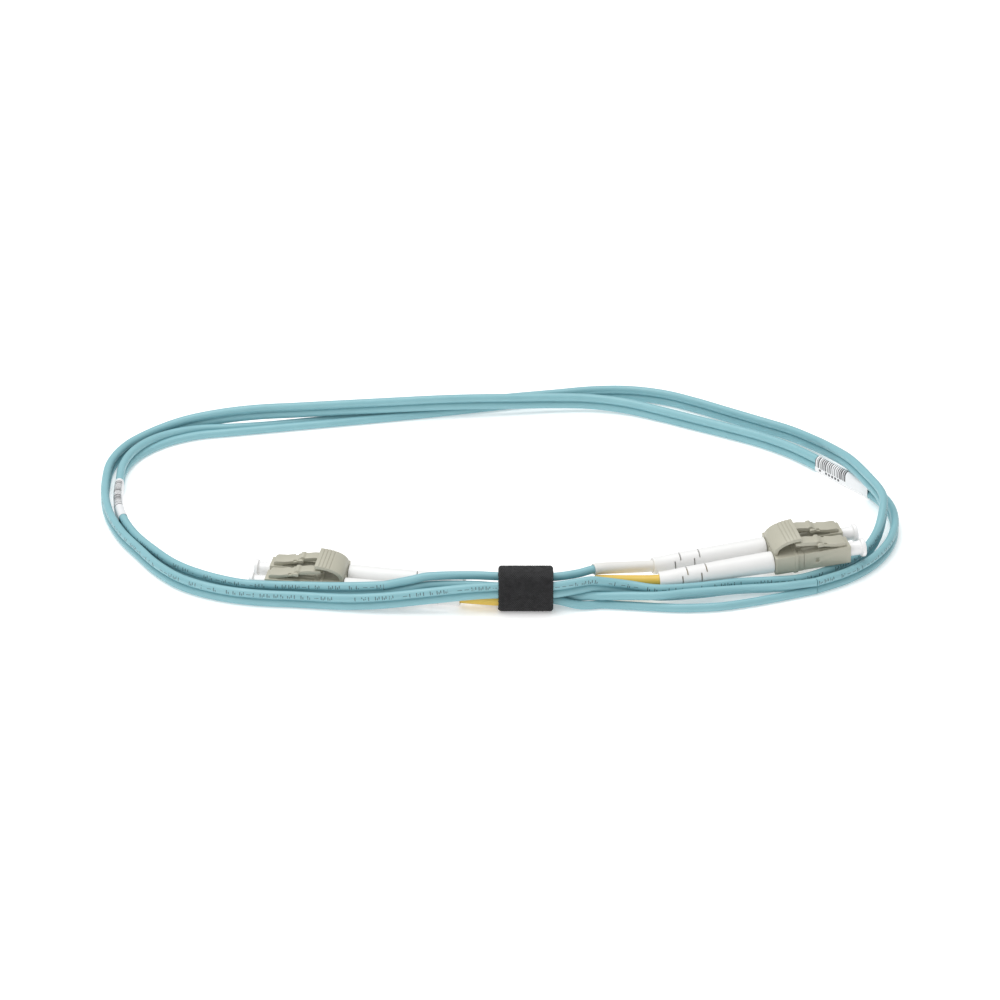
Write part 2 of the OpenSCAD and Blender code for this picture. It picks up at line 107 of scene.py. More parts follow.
def turn(angles):
    roll, pitch, yaw = (math.radians(a) for a in angles)
    return (Matrix.Rotation(yaw, 4, "Z") @ Matrix.Rotation(pitch, 4, "Y")
            @ Matrix.Rotation(roll, 4, "X"))


def place(name):
    """The matrix, in millimetres, of a connector ("a") or of one of its channels ("a1")."""
    at, angles = PLACES[name[0]]
    side = SIDES.get(name, 0)
    return Matrix.Translation(at) @ turn(angles) @ Matrix.Translation((0, side * PITCH / 2, 0))


# ---------- camera, light and floor ----------
scene = bpy.context.scene
scene.view_settings.view_transform = "Standard"
camera = bpy.data.objects.new("camera", bpy.data.cameras.new("camera"))
camera.location = (-0.006, -0.8741, 0.4929)
camera.rotation_euler = (math.radians(62), 0, 0)
camera.data.lens = 154.8
camera.data.sensor_width = 36
camera.data.clip_start = 0.01
scene.collection.objects.link(camera)
scene.camera = camera


def softbox(name, at, aim, size, power):
    lamp = bpy.data.objects.new(name, bpy.data.lights.new(name, "AREA"))
    lamp.data.shape = "RECTANGLE"
    lamp.data.size, lamp.data.size_y = size
    lamp.data.energy = power
    lamp.location = at
    lamp.rotation_euler = (Vector(aim) - Vector(at)).to_track_quat("-Z", "Y").to_euler()
    scene.collection.objects.link(lamp)


softbox("overhead", (-0.15, 0.15, 0.9), (0, 0.05, 0), (0.9, 0.7), 6.6)
softbox("front_left", (-0.7, -0.8, 0.55), (0, 0.03, 0), (0.6, 0.5), 2.0)

world = bpy.data.worlds.new("studio")
world.use_nodes = True
world.node_tree.nodes["Background"].inputs["Color"].default_value = (1, 1, 1, 1)
world.node_tree.nodes["Background"].inputs["Strength"].default_value = 0.50
scene.world = world


# ---------- procedural materials ----------
class Paint:
    """A Principled material with helpers for adding noise, bump and printed marks."""

    def __init__(self, name, colour, roughness, **sockets):
        self.material = bpy.data.materials.new(name)
        self.material.use_nodes = True
        self.tree = self.material.node_tree
        self.shader = self.tree.nodes["Principled BSDF"]
        self.colour = None
        self.base = colour
        self.shader.inputs["Base Color"].default_value = (*colour, 1)
        self.shader.inputs["Roughness"].default_value = roughness
        for key, value in sockets.items():
            self.shader.inputs[key.replace("_", " ")].default_value = value
        self.where = self.tree.nodes.new("ShaderNodeTexCoord").outputs["Object"]
        self.normal = None

    def node(self, kind, **values):
        made = self.tree.nodes.new(kind)
        for key, value in values.items():
            setattr(made, key, value)
        return made

    def link(self, a, b):
        self.tree.links.new(a, b)

    def noise(self, per_mm, detail=2.0):
        made = self.node("ShaderNodeTexNoise")
        made.inputs["Scale"].default_value = per_mm * 1000
        made.inputs["Detail"].default_value = detail
        self.link(self.where, made.inputs["Vector"])
        return made.outputs["Fac"]

    def mix(self, factor, other):
        """Blend what the colour is so far towards another, by a factor."""
        made = self.node("ShaderNodeMix", data_type="RGBA")
        self.link(factor, made.inputs["Factor"])
        if self.colour is None:
            made.inputs["A"].default_value = (*self.base, 1)
        else:
            self.link(self.colour, made.inputs["A"])
        made.inputs["B"].default_value = (*other, 1)
        self.colour = made.outputs["Result"]
        self.link(self.colour, self.shader.inputs["Base Color"])

    def ramp(self, value, low, high, to_low=0.0, to_high=1.0):
        made = self.node("ShaderNodeMapRange")
        self.link(value, made.inputs["Value"])
        for key, number in zip(("From Min", "From Max", "To Min", "To Max"), (low, high, to_low, to_high)):
            made.inputs[key].default_value = number
        return made.outputs["Result"]

    def math(self, how, a, b=None):
        made = self.node("ShaderNodeMath", operation=how)
        for socket, value in zip(made.inputs, (a, b)):
            if value is None:
                continue
            if isinstance(value, (int, float)):
                socket.default_value = value
            else:
                self.link(value, socket)
        return made.outputs[0]

    def mottle(self, per_mm, other, most):
        self.mix(self.ramp(self.noise(per_mm), 0.35, 0.7, 0, most), other)

    def bump(self, height, distance_mm, strength=1.0):
        made = self.node("ShaderNodeBump")
        made.inputs["Distance"].default_value = distance_mm * MM
        made.inputs["Strength"].default_value = strength
        self.link(height, made.inputs["Height"])
        if self.normal is not None:
            self.link(self.normal, made.inputs["Normal"])
        self.normal = made.outputs["Normal"]
        self.link(self.normal, self.shader.inputs["Normal"])

    def rough(self, per_mm, low, high):
        self.link(self.ramp(self.noise(per_mm, 3), 0.3, 0.7, low, high), self.shader.inputs["Roughness"])

    def map(self):
        """The piece's own map: millimetres along it, and degrees round it, each over 1000."""
        made = self.node("ShaderNodeUVMap", uv_map="along")
        split = self.node("ShaderNodeSeparateXYZ")
        self.link(made.outputs["UV"], split.inputs[0])
        return (self.math("MULTIPLY", split.outputs["X"], 1000.0),
                self.math("MULTIPLY", split.outputs["Y"], 1000.0))

    def between(self, value, low, high):
        above = self.math("GREATER_THAN", value, low)
        below = self.math("LESS_THAN", value, high)
        return self.math("MULTIPLY", above, below)

    def chance(self, cell, seed):
        """A steady random number for each whole cell number."""
        made = self.node("ShaderNodeTexWhiteNoise", noise_dimensions="1D")
        self.link(self.math("ADD", self.math("FLOOR", cell), seed + 0.37), made.inputs["W"])
        return made.outputs["Value"]

    def any_of(self, *values):
        total = values[0]
        for value in values[1:]:
            total = self.math("MAXIMUM", total, value)
        return total

    def all_of(self, *values):
        total = values[0]
        for value in values[1:]:
            total = self.math("MULTIPLY", total, value)
        return total


def moulded(name, colour, shade, roughness, grain=0.012, **sockets):
    paint = Paint(name, colour, roughness, **sockets)
    paint.mottle(0.18, shade, 0.35)
    paint.rough(0.6, roughness - 0.06, roughness + 0.08)
    paint.bump(paint.noise(3.5, 4), grain, 0.6)
    return paint


AQUA = (0.250, 0.490, 0.540)
AQUA_SHADE = (0.205, 0.430, 0.480)
INK = (0.055, 0.085, 0.095)


def jacket(name, printed):
    paint = moulded(name, AQUA, AQUA_SHADE, 0.40, 0.01)
    if printed:
        along, around = paint.map()
        cell = paint.math("DIVIDE", along, 1.6)
        inside = paint.math("FRACT", cell)
        height = paint.ramp(around, -24, 38)
        kind = paint.chance(cell, 0)
        dash = paint.all_of(paint.between(kind, 0.16, 0.40), paint.between(inside, 0.2, 0.85),
                            paint.between(height, 0.42, 0.56))
        tall = paint.all_of(paint.math("GREATER_THAN", kind, 0.40), paint.between(inside, 0.16, 0.30),
                            paint.between(height, 0.05, 0.95))
        short = paint.all_of(paint.math("GREATER_THAN", kind, 0.52), paint.between(inside, 0.44, 0.58),
                             paint.between(height, 0.05, 0.6))
        last = paint.all_of(paint.math("GREATER_THAN", kind, 0.66), paint.between(inside, 0.70, 0.84),
                            paint.between(height, 0.3, 0.95))
        worn = paint.math("GREATER_THAN", paint.noise(1.4, 3), 0.40)
        marks = paint.all_of(paint.any_of(dash, tall, short, last), worn)
        paint.mix(paint.math("MULTIPLY", marks, 0.85), INK)
    return paint.material


def film(name, bars_from, bars_to, first, last, row_from, row_to):
    """White label film with generic bars and one row of dashes."""
    paint = moulded(name, (0.82, 0.83, 0.84), (0.74, 0.76, 0.78), 0.34, 0.006)
    along, around = paint.map()
    cell = paint.math("DIVIDE", along, 0.62)
    width = paint.ramp(paint.chance(cell, 5), 0, 1, 0.25, 0.78)
    bar = paint.math("LESS_THAN", paint.math("FRACT", cell), width)
    bars = paint.all_of(bar, paint.between(along, bars_from, bars_to), paint.between(around, first, last))
    step = paint.math("DIVIDE", along, 1.1)
    dashes = paint.all_of(paint.between(paint.math("FRACT", step), 0.2, 0.8),
                          paint.math("GREATER_THAN", paint.chance(step, 9), 0.25),
                          paint.between(along, bars_from, bars_to), paint.between(around, row_from, row_to))
    paint.mix(paint.math("MULTIPLY", paint.any_of(bars, dashes), 0.95), (0.03, 0.03, 0.035))
    return paint.material


def woven(name):
    paint = Paint(name, (0.014, 0.014, 0.015), 0.8, Sheen_Weight=0.08, Specular_IOR_Level=0.3)
    paint.mottle(0.9, (0.028, 0.028, 0.030), 0.8)
    along, around = paint.map()
    rib = paint.math("SINE", paint.math("MULTIPLY", along, 2 * math.pi / 0.5))
    row = paint.math("SINE", paint.math("MULTIPLY", around, 2 * math.pi / 0.5))
    paint.bump(paint.math("MULTIPLY", rib, row), 0.10, 0.9)
    paint.bump(paint.noise(2.6, 5), 0.12, 0.9)
    return paint.material


def metal(name, colour, roughness):
    paint = Paint(name, colour, roughness, Metallic=1.0)
    paint.rough(1.5, roughness - 0.05, roughness + 0.1)
    paint.bump(paint.noise(4.0, 3), 0.004, 0.5)
    return paint.material


BEIGE = moulded("beige_plastic", (0.475, 0.462, 0.375), (0.43, 0.418, 0.338), 0.44).material
WHITE = moulded("boot_white", (0.84, 0.84, 0.83), (0.79, 0.79, 0.785), 0.42, 0.008).material
CAP = moulded("cap_white", (0.88, 0.88, 0.88), (0.84, 0.84, 0.845), 0.28, 0.005, Coat_Weight=0.2).material
SLEEVE = {"1": moulded("sleeve_white", (0.80, 0.79, 0.76), (0.76, 0.75, 0.72), 0.45, 0.008).material,
          "2": moulded("sleeve_yellow", (0.74, 0.51, 0.085), (0.66, 0.44, 0.07), 0.42, 0.008).material}
# Slit floors: the grey is painted shade in the grooves of the boots over white sleeves; the amber is the yellow
# sleeve seen through the grooves, darkened with painted shade.
SLIT_PAINTED_SHADE = {"1": moulded("slit_grey_painted_shade", (0.30, 0.29, 0.27), (0.25, 0.24, 0.22), 0.6).material,
        "2": moulded("slit_amber_sleeve_and_painted_shade", (0.22, 0.16, 0.05), (0.17, 0.12, 0.04), 0.6).material}
JACKET = jacket("aqua_jacket", False)
PRINTED = jacket("aqua_jacket_printed", True)
CERAMIC = moulded("ceramic", (0.86, 0.85, 0.82), (0.83, 0.82, 0.79), 0.18, 0.002, Coat_Weight=0.4).material
NICKEL = metal("nickel_plated", (0.62, 0.60, 0.57), 0.28)
STEEL = metal("spring_steel", (0.55, 0.55, 0.57), 0.25)
CRIMP = metal("crimp_metal", (0.60, 0.60, 0.61), 0.38)
TIE = woven("hook_and_loop")
FLOOR = Paint("pale_floor", (0.90, 0.90, 0.90), 0.7, Emission_Color=(1, 1, 1, 1), Emission_Strength=0.30)
FLOOR.mottle(0.004, (0.91, 0.91, 0.91), 0.5)

floor = bpy.data.objects.new("floor", bpy.data.meshes.new("floor"))
floor.data.from_pydata([(-4, -4, 0), (4, -4, 0), (4, 4, 0), (-4, 4, 0)], [], [(0, 1, 2, 3)])
floor.data.materials.append(FLOOR.material)
scene.collection.objects.link(floor)


# ---------- mesh helpers ----------
def new_object(name, points, faces, *materials):
    mesh = bpy.data.meshes.new(name)
    mesh.from_pydata([tuple(p) for p in points], [], faces)
    made = bpy.data.objects.new(name, mesh)
    scene.collection.objects.link(made)
    for material in materials:
        mesh.materials.append(material)
    return made


def bake(piece):
    shape = bpy.context.evaluated_depsgraph_get()
    mesh = bpy.data.meshes.new_from_object(piece.evaluated_get(shape))
    piece.modifiers.clear()
    piece.data = mesh


def merge(piece, others, how):
    """Join the others to a piece, or cut them out of it."""
    for other in others:
        step = piece.modifiers.new(how, "BOOLEAN")
        step.operation, step.solver, step.object = how, "EXACT", other
    bpy.context.view_layer.update()
    bake(piece)
    for other in others:
        bpy.data.objects.remove(other)
    return piece


def block(x, y, z):
    points = [(a, b, c) for a in x for b in y for c in z]
    faces = [(0, 1, 3, 2), (4, 6, 7, 5), (0, 4, 5, 1), (2, 3, 7, 6), (0, 2, 6, 4), (1, 5, 7, 3)]
    return new_object("part", points, faces)


def prism(outline, low, high):
    """A side view, x against z, pulled out from y = low to y = high."""
    n = len(outline)
    points = [(x, y, z) for y in (low, high) for x, z in outline]
    faces = [tuple(range(n)), tuple(range(2 * n - 1, n - 1, -1))]
    faces += [(i, n + i, n + (i + 1) % n, (i + 1) % n) for i in range(n)]
    made = new_object("part", points, faces)
    tidy(made)
    return made


def tidy(piece):
    """Point every face outwards."""
    work = bmesh.new()
    work.from_mesh(piece.data)
    bmesh.ops.recalc_face_normals(work, faces=work.faces)
    work.to_mesh(piece.data)
    work.free()


def rod(start, end, radius, y=0.0, z=0.0, n=40):
    points = [(x, y + radius * math.cos(a), z + radius * math.sin(a))
              for x in (start, end) for a in np.arange(n) * 2 * math.pi / n]
    faces = [tuple(range(n)), tuple(range(2 * n - 1, n - 1, -1))]
    faces += [(i, n + i, n + (i + 1) % n, (i + 1) % n) for i in range(n)]
    made = new_object("part", points, faces)
    tidy(made)
    return made


def finish_piece(piece, name, where, body, material, replaced, bevel=0.0):
    """Soften the edges, put the piece in place in metres, name it, and hide the parts it stands for."""
    if bevel:
        edge = piece.modifiers.new("edge", "BEVEL")
        edge.width, edge.segments, edge.limit_method = bevel, 2, "ANGLE"
        edge.angle_limit = math.radians(38)
        edge.use_clamp_overlap = True
        bpy.context.view_layer.update()
        bake(piece)
    piece.name = name
    piece.data.name = name
    piece.data.transform(Matrix.Scale(MM, 4) @ where)
    if material is not None:
        piece.data.materials.clear()
        piece.data.materials.append(material)
    piece.data.shade_smooth()
    piece.data.set_sharp_from_angle(angle=math.radians(32))
    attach(piece, body)
    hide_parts(*replaced)
    return piece


# ---------- curves ----------
def smooth(points, n):
    """A Catmull-Rom curve through the points, with n steps between each two."""
    p = np.array(points, float)
    p = np.vstack([p[:1], p, p[-1:]])
    t = np.arange(n)[:, None] / n
    runs = [0.5 * (2 * b + (c - a) * t + (2 * a - 5 * b + 4 * c - d) * t ** 2
                   + (3 * b - a - 3 * c + d) * t ** 3)
            for a, b, c, d in zip(p, p[1:], p[2:], p[3:])]
    return np.vstack([*runs, p[-1:]])


def lengths(line):
    return np.concatenate([[0], np.cumsum(np.linalg.norm(np.diff(line[:, :3], axis=0), axis=1))])


def at(line, stations):
    s = lengths(line)
    return np.stack([np.interp(stations, s, line[:, k]) for k in range(line.shape[1])], axis=1)


def axes(line):
    way = np.gradient(line[:, :3], axis=0)
    way /= np.linalg.norm(way, axis=1)[:, None]
    side = np.stack([way[:, 1], -way[:, 0], np.zeros(len(way))], axis=1)
    side /= np.linalg.norm(side, axis=1)[:, None]
    return way, side, np.cross(side, way)


def tube(name, rings, marks=None, capped=True, closed=False, materials=(), shade=None):
    """A mesh through rings of points. marks gives each point its place on the "along" map."""
    n, m = rings.shape[:2]
    faces, painted_shade_slots = [], []
    for i in range(n if closed else n - 1):
        j = (i + 1) % n
        for k in range(m):
            l = (k + 1) % m
            faces.append((i * m + k, j * m + k, j * m + l, i * m + l))
            # Faces whose corners are all in the shade mask take slot 1, a painted shade colour (the boots' slit
            # floors).
            painted_shade_slots.append(0 if shade is None else int(shade[i, k] and shade[j, l]))
    if capped and not closed:
        faces += [tuple(range(m)), tuple(range(n * m - 1, (n - 1) * m - 1, -1))]
        painted_shade_slots += [0, 0]
    made = new_object(name, rings.reshape(-1, 3), faces, *materials)
    made.data.polygons.foreach_set("material_index", painted_shade_slots)
    tidy(made)
    if marks is not None:
        layer = made.data.uv_layers.new(name="along")
        flat = marks.reshape(-1, 2) / 1000
        corners = np.zeros(len(made.data.loops), int)
        made.data.loops.foreach_get("vertex_index", corners)
        layer.data.foreach_set("uv", flat[corners].ravel())
    return made


def leg_line(name):
    where = place(name)
    start = where.translation
    back = -(where.to_3x3() @ Vector((1, 0, 0)))
    straight = [tuple(start + back * d) for d in (0, 4.5, 9, 15, 21)]
    return smooth(straight + TAILS[name], 10)


def lathe_along(line, profile, n):
    """Round sections along a line: profile is pairs of station and radius, or station and radii."""
    stations = np.array([s for s, r in profile], float)
    path = at(line, stations)
    way, side, up = axes(at(line, np.linspace(0, lengths(line)[-1], 400)))
    every = np.linspace(0, lengths(line)[-1], 400)
    side = np.stack([np.interp(stations, every, side[:, k]) for k in range(3)], axis=1)
    up = np.stack([np.interp(stations, every, up[:, k]) for k in range(3)], axis=1)
    angle = np.arange(n) * 2 * math.pi / n
    radii = np.array([np.broadcast_to(r, n) for s, r in profile])
    return (path[:, None, :3] + side[:, None] * (radii * np.cos(angle))[:, :, None]
            + up[:, None] * (radii * np.sin(angle))[:, :, None])


# ---------- the zipcord: two strands and the web between them ----------
STRAND = 1.0
STRAND_AT = 1.025


def corner_arc(before, corner, after, n):
    """Points round a corner, coming from one place and going on to another."""
    here, radius = np.array(corner[:2], float), corner[2]
    u, v = (np.array(p[:2], float) - here for p in (before, after))
    u, v = u / np.linalg.norm(u), v / np.linalg.norm(v)
    half_angle = math.acos(u @ v) / 2
    middle = (u + v) / np.linalg.norm(u + v) * radius / math.sin(half_angle)
    w = u * radius / math.tan(half_angle) - middle
    sweep = -np.sign(u[0] * v[1] - u[1] * v[0]) * (math.pi - 2 * half_angle)
    t = sweep * np.arange(n + 1) / n
    turned = np.stack([w[0] * np.cos(t) - w[1] * np.sin(t), w[0] * np.sin(t) + w[1] * np.cos(t)], axis=1)
    return here + middle + turned


def coil_turn(k):
    """Evenly spaced points round one turn of the coil: x, y, z and lean."""
    corners = TURN_CORNERS[k]
    arcs = [corner_arc(a, b, c, 10) for a, b, c in zip(corners, corners[1:], corners[2:])]
    loop = np.vstack([corners[0][:2], *arcs, corners[-1][:2]])
    loop = np.column_stack([loop, np.zeros(len(loop))])
    even = at(loop, np.linspace(0, lengths(loop)[-1], TURN_STEPS + 1))
    way_round = np.degrees(np.arctan2(even[:, 1] - COIL_MID[1], even[:, 0] - COIL_MID[0]))
    way_round[way_round < -60] += 360
    lift, lean = (np.interp(way_round, *np.array(table[k], float).T) for table in (TURN_LIFT, TURN_LEAN))
    rest = STRAND + STRAND_AT * np.cos(np.radians(lean)) + FLOOR_GAP
    return [tuple(p) for p in np.column_stack([even[:, :2], rest + lift, lean])]


ROUTE = coil_turn(0) + BUNDLE_RUN + coil_turn(1) + LAST_RUN
SECOND_START = TURN_STEPS + 1 + len(BUNDLE_RUN)


def zip_section():
    """Points round both strands, with each point's angle on its own strand (the lower one adds 400)."""
    turns = np.radians(np.arange(-72, 253, 12))
    upper = [(STRAND * math.cos(a), STRAND_AT + STRAND * math.sin(a), math.degrees(a)) for a in turns]
    lower = [(-x, -y, angle + 400) for x, y, angle in upper]
    return np.array(upper + lower)


def along_route(section, line):
    way, side, up = axes(line)
    roll = np.radians(line[:, 3])[:, None, None]
    x, y = section[:, 0][None, :, None], section[:, 1][None, :, None]
    return (line[:, None, :3] + side[:, None] * (x * np.cos(roll) + y * np.sin(roll))
            + up[:, None] * (y * np.cos(roll) - x * np.sin(roll)))


def marks_for(stations, section):
    marks = np.zeros((len(stations), len(section), 2))
    marks[:, :, 0] = stations[:, None]
    marks[:, :, 1] = section[None, :, 2]
    return marks


route = smooth(ROUTE, 12)
route_length = lengths(route)[-1]
stations = np.linspace(0, route_length, 900)
route = at(route, stations)
section = zip_section()
zipcord = tube("zipcord", along_route(section, route) * MM, marks_for(stations, section),
               materials=(PRINTED,))
zipcord.data.shade_smooth()
zipcord.data.set_sharp_from_angle(angle=math.radians(50))
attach(zipcord, CORD_BODY)
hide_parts("zipcord_right", "zipcord_back", "zipcord_left", "zipcord_front",
            "zipcord_second_turn")

# ---------- the four legs ----------
LEG_START = 8.0
lines = {name: leg_line(name) for name in TAILS}
for name, line in lines.items():
    long = lengths(line)[-1]
    profile = [(s, STRAND) for s in np.linspace(LEG_START, long, 110)]
    rings = lathe_along(line, profile, 24)
    leg = tube(f"{name}_leg_jacket", rings * MM, materials=(JACKET,))
    leg.data.shade_smooth()
    leg.data.set_sharp_from_angle(angle=math.radians(50))
    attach(leg, CORD_BODY)
    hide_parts(f"{name}_leg")

# ---------- boots with slits, and the coloured sleeves ----------
BOOT_FRONT, BOOT_REAR = 2.55, 2.05
SLIT_HALF, SLIT_DEPTH = 0.13, 0.5
# Distance from the boot's rear end, and which way round each slit goes.
SLITS = ((5.2, "sides"), (6.6, "top"), (9.8, "sides"), (11.2, "top"))
BOOT_N = 72


def boot_radius(s):
    return BOOT_FRONT + (BOOT_REAR - BOOT_FRONT) * min(1, max(0, (s - 1.5) / (BOOT_LEN - 3)))


def slit_mask(kind):
    angle = np.degrees(np.arange(BOOT_N) * 2 * math.pi / BOOT_N)

    def off(centre):
        return abs((angle - centre + 180) % 360 - 180)

    if kind == "sides":
        return (off(-8) < 42) | (off(188) < 42)
    return (off(90) < 58) | (off(-90) < 40)


def boot(name):
    line = lines[name]
    outside = [(0.02, 1.98), (0.02, BOOT_FRONT - 0.18), (0.1, BOOT_FRONT - 0.05), (0.25, BOOT_FRONT)]
    outside = [(s, np.full(BOOT_N, r)) for s, r in outside]
    cuts = sorted(BOOT_LEN - back for back, kind in SLITS)
    kinds = {BOOT_LEN - back: kind for back, kind in SLITS}
    plain = [s for s in np.linspace(0.8, BOOT_LEN - 0.5, 34) if min(abs(s - c) for c in cuts) > 0.35]
    steps = [(s, None) for s in plain]
    for c in cuts:
        steps += [(c - SLIT_HALF - 0.03, None), (c - SLIT_HALF, kinds[c]), (c + SLIT_HALF, kinds[c]),
                  (c + SLIT_HALF + 0.03, None)]
    for s, kind in sorted(steps, key=lambda step: step[0]):
        radii = np.full(BOOT_N, boot_radius(s))
        if kind:
            radii = radii - SLIT_DEPTH * slit_mask(kind)
        outside.append((s, radii))
    end = [(BOOT_LEN - 0.22, BOOT_REAR), (BOOT_LEN - 0.07, BOOT_REAR - 0.05), (BOOT_LEN, BOOT_REAR - 0.2),
           (BOOT_LEN, 1.62), (BOOT_LEN - 0.1, 1.47), (BOOT_LEN - 3, 1.45), (9.2, 1.45), (8.8, 1.98)]
    profile = outside + [(s, np.full(BOOT_N, r)) for s, r in end]
    rings = lathe_along(line, profile, BOOT_N)
    full = np.array([boot_radius(s) for s, r in profile])
    # Faces at the bottom of the slits take the second slot: painted shade, with the yellow sleeve showing
    # through on channel 2.
    painted_shade_faces = np.array([r for s, r in profile]) < full[:, None] - 0.3
    painted_shade_faces[len(outside):] = False
    painted_shade_faces[:4] = False
    made = tube(f"{name}_strain_relief", rings, closed=True, materials=(WHITE, SLIT_PAINTED_SHADE[name[1]]), shade=painted_shade_faces)
    finish_piece(made, f"{name}_strain_relief", Matrix.Identity(4), CORD_BODY, None,
                 [f"{name}_boot"])


def sleeve(name):
    a, b = SLEEVE_IN, SLEEVE_OUT
    outer, inner = 1.4, 1.08
    profile = [(a, inner), (a, outer - 0.06), (a + 0.06, outer)]
    profile += [(s, outer) for s in np.linspace(a + 1, b - 0.3, 26)]
    profile += [(b - 0.08, outer), (b, outer - 0.08), (b, inner + 0.04), (b - 0.05, inner)]
    profile += [(s, inner) for s in np.linspace(b - 1, a + 1, 14)]
    rings = lathe_along(lines[name], profile, 40)
    made = tube(f"{name}_polarity_sleeve", rings, closed=True)
    finish_piece(made, f"{name}_polarity_sleeve", Matrix.Identity(4), CORD_BODY,
                 SLEEVE[name[1]], [f"{name}_leg_sleeve"])


# ---------- the plugs ----------
def spun(profile, n):
    """Rings round the connector's own x axis."""
    angle = np.arange(n) * 2 * math.pi / n
    return np.array([[(x, r * math.cos(a), r * math.sin(a)) for a in angle] for x, r in profile])


def plug_housing(name):
    made = block((COLLAR_END + 0.06, PLUG_END), (-HALF, HALF), (-HALF, HALF))
    cuts = [rod(PLUG_END - 4.5, PLUG_END + 1, 1.75), rod(COLLAR_END - 1, PLUG_END, 0.9),
            block((COLLAR_END - 1, COLLAR_END + 6.6), (-0.95, 0.95), (HALF - 0.35, HALF + 1))]
    for side in (-1, 1):
        y = sorted((side * (HALF - 0.45), side * (HALF + 1)))
        cuts.append(block((COLLAR_END + 2.9, COLLAR_END + 3.7), y, (-0.5, 0.6)))
        cuts.append(block((COLLAR_END + 0.5, PLUG_END - 3.2), sorted((side * 1.35, side * 1.9)),
                          (HALF - 0.22, HALF + 1)))
    merge(made, cuts, "DIFFERENCE")
    finish_piece(made, f"{name}_plug_nose", place(name), CORD_BODY, BEIGE,
                 [f"{name}_plug_housing"], bevel=0.1)


def latch(name):
    root = PLUG_END - 1.3
    front = [(root + 0.35, 2.34), (root + 0.35, 3.0), (root - 0.2, 3.28), (root - 2.4, 3.34),
             (root - 5.4, 3.92), (root - 5.9, 4.0), (root - 5.9, 3.3), (root - 3.2, 2.72),
             (root - 1.3, 2.34)]
    tail = [(root - 5.4, 3.28), (5.4, 4.2), (5.4, 4.78), (8.2, 4.78), (10.2, 4.42), (10.7, 4.72),
            (11.05, 4.68), (root - 5.4, 3.95)]
    made = prism(front, -1.75, 1.75)
    parts = [prism(tail, -1.35, 1.35)]
    for side in (-1, 1):
        ear = [(10.55, 3.42), (10.55, 4.02), (10.9, 4.2), (11.6, 4.1), (11.75, 3.5)]
        parts.append(prism(ear, *sorted((side * 1.0, side * 2.2))))
    merge(made, parts, "UNION")
    cuts = [prism([(root - 5.1, 3.55), (root - 5.1, 4.6), (root - 4.3, 4.6), (root - 4.3, 3.4)],
                  *sorted((side * 1.2, side * 2.0))) for side in (-1, 1)]
    merge(made, cuts, "DIFFERENCE")
    finish_piece(made, f"{name}_latch_arm", place(name), f"{name}_latch", BEIGE,
                 [f"{name}_latch"], bevel=0.07)


def rear_body(name):
    made = block((CLIP_END + 0.06, COLLAR_END), (-2.3, 2.3), (-2.3, 2.3))
    parts = [rod(-1, CLIP_END + 0.5, 1.9), rod(-7.5, -0.5, 1.35), rod(COLLAR_END - 0.5, COLLAR_END + 2.8, 1.7)]
    merge(made, parts, "UNION")
    notch = block((CLIP_END - 1, COLLAR_END + 1), (-0.7, 0.7), (1.95, 3))
    merge(made, [rod(-9, COLLAR_END + 4, 0.8, n=24), notch], "DIFFERENCE")
    finish_piece(made, f"{name}_rear_shell", place(name), CORD_BODY, BEIGE,
                 [f"{name}_rear_body"], bevel=0.1)


def dust_cap(name):
    out = PLUG_END + 4.0
    profile = [(PLUG_END - 1.7, 0.8), (PLUG_END - 1.7, 1.5), (PLUG_END - 1.55, 1.64), (PLUG_END - 1.3, 1.66),
               (PLUG_END + 0.2, 1.66), (out - 1.55, 1.66), (out - 1.25, 1.70), (out - 1.1, 1.82),
               (out - 1.04, 2.08), (out - 0.96, 2.19), (out - 0.8, 2.25), (out - 0.25, 2.25),
               (out - 0.1, 2.2), (out - 0.02, 2.08), (out, 1.9), (out - 0.02, 1.6), (out - 0.12, 1.45),
               (out - 0.14, 0.4), (out - 0.14, 0.02), (out - 0.9, 0.02), (out - 0.9, 0.8)]
    made = tube(f"{name}_cap", spun(profile, 56), closed=True)
    finish_piece(made, f"{name}_cap", place(name), f"{name}_dust_cap", CAP,
                 [f"{name}_dust_cap"])


def duplex_clip(end):
    wide, tall = CLIP_HALF
    made = block((0.1, CLIP_END), (-wide, wide), (-tall, tall))
    parts = [block((CLIP_END - 0.75, CLIP_END - 0.02), (-wide - 0.14, wide + 0.14), (-1.9, tall + 0.12)),
             block((0.12, 0.75), (-wide - 0.1, wide + 0.1), (-1.9, tall + 0.05))]
    merge(made, parts, "UNION")
    cuts = [block((-1, CLIP_END + 1), (-0.45, 0.45), (-tall - 1, 0.6)),
            block((-1, CLIP_END + 1), (-0.22, 0.22), (tall - 0.4, tall + 1))]
    for side in (-1, 1):
        cuts.append(rod(-1, CLIP_END + 1, 1.95, y=side * PITCH / 2))
        cuts.append(block((0.4, CLIP_END - 1.1), sorted((side * (wide - 0.35), side * (wide + 1))),
                          (-tall - 1, -1.72)))
        cuts.append(block((-1, 0.5), sorted((side * (wide - 0.5), side * (wide + 1))),
                          (-tall - 1, -1.3)))
    merge(made, cuts, "DIFFERENCE")
    finish_piece(made, f"{end}_clip_shell", place(end), CORD_BODY, BEIGE,
                 [f"{end}_duplex_clip"], bevel=0.09)


TRIGGER_TIP = (CLIP_END + 1.2, 6.1)
TRIGGER_ROOT = (0.45, 2.8)
TRIGGER_WALL = 0.85
GROOVES = (1.0, 1.85, 2.7, 3.55)


